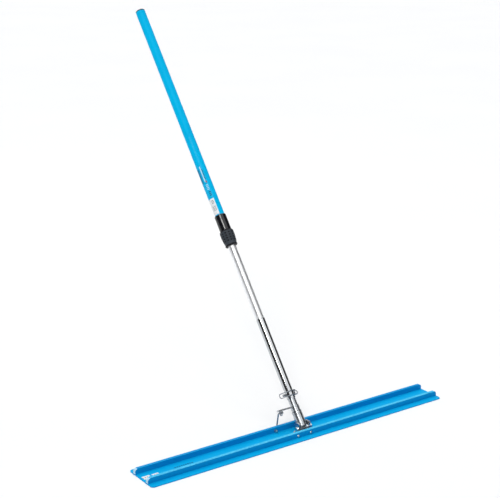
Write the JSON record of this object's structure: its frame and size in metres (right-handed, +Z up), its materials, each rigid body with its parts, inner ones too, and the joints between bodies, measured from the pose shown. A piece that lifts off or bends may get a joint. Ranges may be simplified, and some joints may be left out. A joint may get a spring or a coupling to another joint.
{
  "type": "concrete smoothing float",
  "caption": "Long flat float blade with two stiffening ribs, tilted by twisting a telescopic twist-lock pole through a crank head; smooths freshly laid concrete.",
  "frame": {"origin": "on the pole's axis, at the upper end face of the outer tube", "axes": "+X along the blade, +Y from the blade towards the pole's upper end, +Z up; the pole leans back 38 degrees in the YZ plane"},
  "size_m": [1.2, 1.0952, 1.3322],
  "materials": {
    "blade_paint": "aluminium with a smooth bright blue coating",
    "tube_paint": "aluminium with a gloss bright blue coating",
    "zinc_steel": "zinc plated, satin",
    "bare_steel": "bare spring steel, drawn",
    "bright_chrome": "polished",
    "satin_aluminium": "satin anodised",
    "black_plastic": "moulded, fine grain",
    "grey_plastic": "moulded, dark grey",
    "bearing_plastic": "self-lubricating plastic",
    "label_film": "white printed film"
  },
  "bodies": {
    "outer_pole": {"outer_tube": "tube_paint", "end_cap": "black_plastic", "lock_sleeve": "black_plastic", "collet": "bearing_plastic", "pole_label": "label_film"},
    "lock_nut": {"lock_nut": "grey_plastic"},
    "inner_pole": {"inner_tube": "satin_aluminium", "guide_plug": "bearing_plastic", "chrome_tube": "bright_chrome", "tube_rivets": "satin_aluminium", "swivel_shaft": "zinc_steel", "shaft_collar": "zinc_steel", "crank_arm": "zinc_steel", "arm_lug": "zinc_steel", "shaft_washer": "zinc_steel", "retaining_ring": "zinc_steel", "lock_pin": "bare_steel"},
    "pin_bail": {"pin_bail": "bare_steel"},
    "knuckle": {"bearing_tube": "zinc_steel", "pivot_barrel": "zinc_steel", "lower_bush": "bearing_plastic", "upper_bush": "bearing_plastic"},
    "blade": {"float_blade": "blade_paint", "clevis_bracket": "zinc_steel", "bracket_bolts": "zinc_steel", "bracket_nuts": "zinc_steel", "bracket_washers": "zinc_steel", "pivot_bolt": "zinc_steel", "pivot_nut": "zinc_steel", "pivot_washers": "zinc_steel", "tilt_post": "bare_steel", "post_foot": "zinc_steel", "post_bolt": "zinc_steel", "post_washer": "zinc_steel", "post_nut": "zinc_steel", "hook_clip": "zinc_steel", "blade_stickers": "label_film"}
  },
  "joints": [
    {"name": "lock_nut_twist", "type": "hinge", "parent": "outer_pole", "child": "lock_nut", "pos_m": [0, -0.58118, -0.74388], "axis": [0, 0.6157, 0.788], "range_deg": [-120, 0]},
    {"name": "pole_extend", "type": "slide", "parent": "outer_pole", "child": "inner_pole", "axis": [0, -0.6157, -0.788], "range_m": [-0.27, 0.45]},
    {"name": "bail_swing", "type": "hinge", "parent": "inner_pole", "child": "pin_bail", "pos_m": [0.018, -0.9435, -1.20763], "axis": [0, 0.6157, 0.788], "range_deg": [0, 60]},
    {"name": "pole_twist", "type": "hinge", "parent": "inner_pole", "child": "knuckle", "pos_m": [0, -1.0183, -1.30337], "axis": [0, 0.6157, 0.788], "range_deg": [-18, 18]},
    {"name": "blade_tilt", "type": "hinge", "parent": "knuckle", "child": "blade", "pos_m": [0, -1.0183, -1.30337], "axis": [1, 0, 0], "range_deg": [-16.5, 16.5]}
  ],
  "couplings": [
    {"joint": "blade_tilt", "follows": "pole_twist", "ratio": -0.9051}
  ]
}
